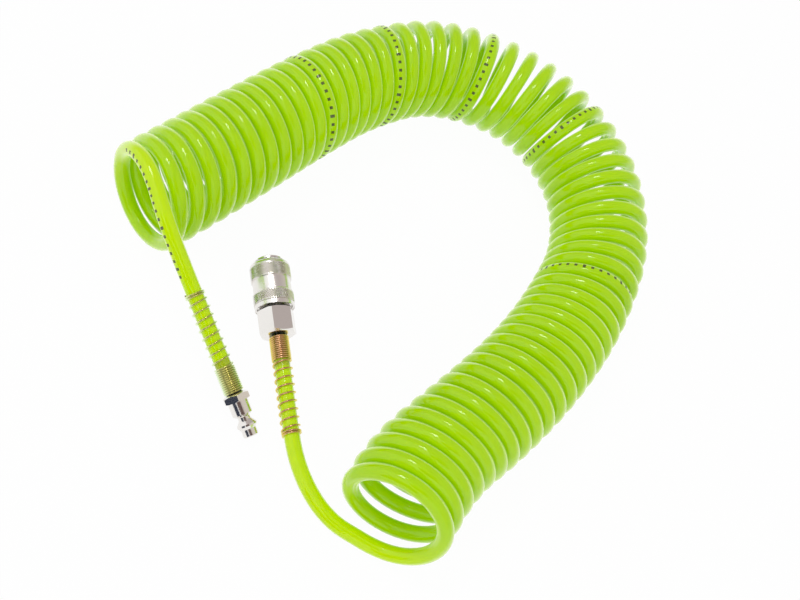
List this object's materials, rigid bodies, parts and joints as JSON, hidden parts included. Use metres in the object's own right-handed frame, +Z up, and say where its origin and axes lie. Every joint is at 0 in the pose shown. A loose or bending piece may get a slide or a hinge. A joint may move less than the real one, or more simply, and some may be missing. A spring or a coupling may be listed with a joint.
{
  "type": "coiled air hose",
  "caption": "Recoil air hose, wound in a U, with a push-on quick coupler at one end, a plug at the other and a spring guard behind each.",
  "frame": {"origin": "middle of the space that the part covers, on the surface it lies on", "axes": "+Z up; +Y along the length of the U, from its open end towards its bend; +X across the U, from the plug's leg to the coupler's leg"},
  "size_m": [0.2704, 0.3218, 0.0575],
  "materials": {
    "hose": "glossy translucent yellow green polyurethane",
    "guard_wire": "yellow passivated spring wire",
    "nickel": "bright nickel plate",
    "seal": "matte black nitrile",
    "spring_steel": "satin",
    "ball_steel": "polished"
  },
  "bodies": {
    "root": {"hose_coil_1": "hose", "hose_coil_2": "hose", "hose_coil_3": "hose", "hose_coil_4": "hose", "hose_coil_5": "hose", "hose_coil_6": "hose", "hose_tail_plug": "hose", "hose_tail_coupler": "hose", "spring_guard_plug": "guard_wire", "spring_guard_coupler": "guard_wire", "plug_nipple": "nickel", "rear_adapter": "nickel", "body_gasket": "seal", "coupler_body": "nickel", "plug_seal": "seal", "valve_spring": "spring_steel", "sleeve_spring": "spring_steel", "retaining_ring": "spring_steel"},
    "sleeve": {"locking_sleeve": "nickel"},
    "poppet": {"valve_poppet": "nickel", "valve_seal": "seal"},
    "ball_1": {"locking_ball_1": "ball_steel"},
    "ball_2": {"locking_ball_2": "ball_steel"},
    "ball_3": {"locking_ball_3": "ball_steel"},
    "ball_4": {"locking_ball_4": "ball_steel"},
    "ball_5": {"locking_ball_5": "ball_steel"},
    "ball_6": {"locking_ball_6": "ball_steel"}
  },
  "joints": [
    {"name": "sleeve_slide", "type": "slide", "parent": "root", "child": "sleeve", "axis": [0.654, -0.7524, -0.0785], "range_m": [0, 0.0013], "stiffness_N_per_m": 400, "springref_m": -0.008, "deforming": ["sleeve_spring"]},
    {"name": "poppet_slide", "type": "slide", "parent": "root", "child": "poppet", "axis": [0.654, -0.7524, -0.0785], "range_m": [0, 0.004], "stiffness_N_per_m": 250, "springref_m": -0.006, "deforming": ["valve_spring"]},
    {"name": "ball_1_slide", "type": "slide", "parent": "root", "child": "ball_1", "axis": [0.0515, -0.0592, 0.9969], "range_m": [0, 0.0009]},
    {"name": "ball_2_slide", "type": "slide", "parent": "root", "child": "ball_2", "axis": [0.6793, 0.5386, 0.4985], "range_m": [0, 0.0009]},
    {"name": "ball_3_slide", "type": "slide", "parent": "root", "child": "ball_3", "axis": [0.6279, 0.5978, -0.4985], "range_m": [0, 0.0009]},
    {"name": "ball_4_slide", "type": "slide", "parent": "root", "child": "ball_4", "axis": [-0.0515, 0.0592, -0.9969], "range_m": [0, 0.0009]},
    {"name": "ball_5_slide", "type": "slide", "parent": "root", "child": "ball_5", "axis": [-0.6793, -0.5386, -0.4985], "range_m": [0, 0.0009]},
    {"name": "ball_6_slide", "type": "slide", "parent": "root", "child": "ball_6", "axis": [-0.6279, -0.5978, 0.4985], "range_m": [0, 0.0009]}
  ],
  "couplings": [
    {"joint": "ball_1_slide", "follows": "sleeve_slide", "ratio": 0.69},
    {"joint": "ball_2_slide", "follows": "sleeve_slide", "ratio": 0.69},
    {"joint": "ball_3_slide", "follows": "sleeve_slide", "ratio": 0.69},
    {"joint": "ball_4_slide", "follows": "sleeve_slide", "ratio": 0.69},
    {"joint": "ball_5_slide", "follows": "sleeve_slide", "ratio": 0.69},
    {"joint": "ball_6_slide", "follows": "sleeve_slide", "ratio": 0.69}
  ]
}
